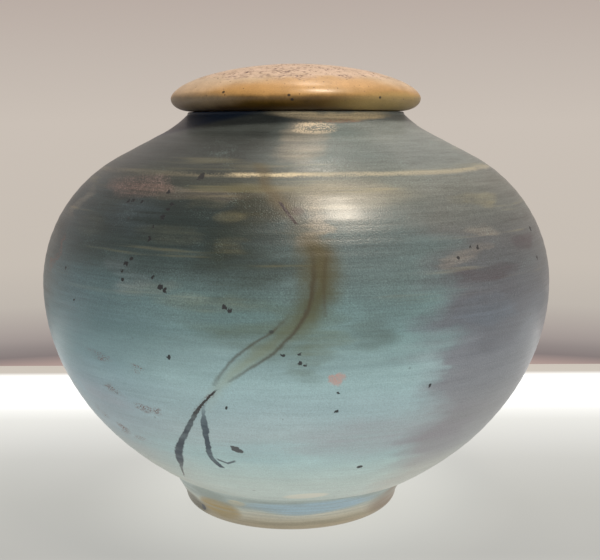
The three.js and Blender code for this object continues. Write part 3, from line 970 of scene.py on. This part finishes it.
flange = throw("locating_flange", flange_profile, flange_clay, flange_turns, ring_spacing=2.5,
               ring_depth=0.05, seed=2.0)
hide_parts("lid_flange")
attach(flange, "lid")

# ---- The room ----
# A white table top that glows from within and ends behind the jar, with a pale wall beyond it.
# Two small lamps under the ceiling give the highlight on the shoulder and the light on the lid.
table_far_edge = 0.271
table_near_edge = -1.5
table_half_width = 1.5
table_thickness = 0.02
glow_near_edge = -0.35
foot_glow = (0.13, 0.13, 0.12)
foot_glow_from, foot_glow_to = 0.115, 0.04
lamp_target = Vector((0, 0, 0.12))

table_paint = bpy.data.materials.new("table_paint")
table_paint.use_nodes = True
table_place = Wire(table_paint.node_tree).node("ShaderNodeTexCoord", output="Object")
table_depth = table_place.parts()["Y"]
table_reach = table_place.node("ShaderNodeVectorMath", {"operation": "LENGTH"}, {0: table_place},
                               output="Value")
glow_share = table_depth.node("ShaderNodeMapRange", {}, {
    "Value": table_depth, "From Min": glow_near_edge, "From Max": table_far_edge})
table_glow = glow_share.ramp([
    (0.0, (0.9, 0.9, 0.86)), (0.3, (0.55, 0.55, 0.52)), (0.44, (0.37, 0.37, 0.35)), (0.54, (0.4, 0.4, 0.375)),
    (0.59, (0.43, 0.43, 0.405)), (0.643, (0.47, 0.47, 0.445)), (0.7, (0.55, 0.55, 0.525)),
    (0.765, (0.64, 0.64, 0.61)), (0.8, (0.76, 0.76, 0.73)), (0.83, (0.95, 0.95, 0.93)),
    (0.945, (0.95, 0.95, 0.93)), (0.965, (0.46, 0.42, 0.37)), (1.0, (0.45, 0.41, 0.36))], 0, 1)
table_glow = table_glow.tint(foot_glow, table_reach.rise(foot_glow_to, foot_glow_from, 0.0, 1.0), "ADD")
dress(table_paint, {"Emission Color": table_glow}, {
    "Base Color": (0.02, 0.02, 0.02, 1), "Emission Strength": 1.2, "Roughness": 0.6})

table_mesh = bpy.data.meshes.new("table_top")
table_corners = [(x, y, z) for x in (-table_half_width, table_half_width)
                 for y in (table_near_edge, table_far_edge) for z in (-table_thickness, 0)]
table_mesh.from_pydata(table_corners, [], [
    (0, 1, 3, 2), (4, 6, 7, 5), (0, 4, 5, 1), (2, 3, 7, 6), (0, 2, 6, 4), (1, 5, 7, 3)])
table_mesh.materials.append(table_paint)
table_top = put("table_top", table_mesh)

# The room's light: the wall's colour by how high one looks, brighter from the right and level behind the jar.
world = bpy.data.worlds.new("pale_room")
world.use_nodes = True
room_side = Wire(world.node_tree).node("ShaderNodeTexCoord", output="Generated")
room_where = room_side.parts()
wall_shade = (room_where["Z"] * 0.5 + 0.5).ramp([
    (0.2, (0.5, 0.5, 0.48)), (0.38, (0.49, 0.37, 0.33)), (0.386, (0.45, 0.33, 0.3)),
    (0.391, (0.226, 0.195, 0.191)), (0.3995, (0.38, 0.33, 0.31)), (0.414, (0.515, 0.468, 0.418)),
    (0.433, (0.57, 0.515, 0.455)), (0.5, (0.591, 0.527, 0.468)), (0.53, (0.54, 0.475, 0.425)),
    (0.56, (0.485, 0.413, 0.371)), (1.0, (0.34, 0.31, 0.29))], 0, 1)
from_right = room_where["X"].rise(-0.8, 0.5, 1.7, 0.9)
behind = room_where["Y"].rise(-0.2, 0.5)
room_level = from_right * (1 - behind) + behind
background = world.node_tree.nodes["Background"]
world.node_tree.links.new(wall_shade.socket, background.inputs["Color"])
world.node_tree.links.new(room_level.socket, background.inputs["Strength"])
bpy.context.scene.world = world
bpy.context.scene.view_settings.view_transform = "Standard"


def ceiling_lamp(name, direction, distance, width, depth, power, colour):
    """A rectangular lamp that faces the jar from a direction."""
    data = bpy.data.lights.new(name, "AREA")
    data.shape = "RECTANGLE"
    data.size, data.size_y = width, depth
    data.energy = power
    data.color = colour
    light = put(name, data)
    light.location = lamp_target + Vector(direction).normalized() * distance
    light.rotation_euler = (-Vector(direction)).to_track_quat("-Z", "Y").to_euler()


ceiling_lamp("near_lamp", (0.252, -0.3, 0.92), distance=1.6, width=0.27, depth=0.36, power=23,
             colour=(1.0, 0.87, 0.71))
ceiling_lamp("far_lamp", (0.08, 0.35, 0.93), distance=1.8, width=0.25, depth=0.25, power=4,
             colour=(1.0, 0.9, 0.78))
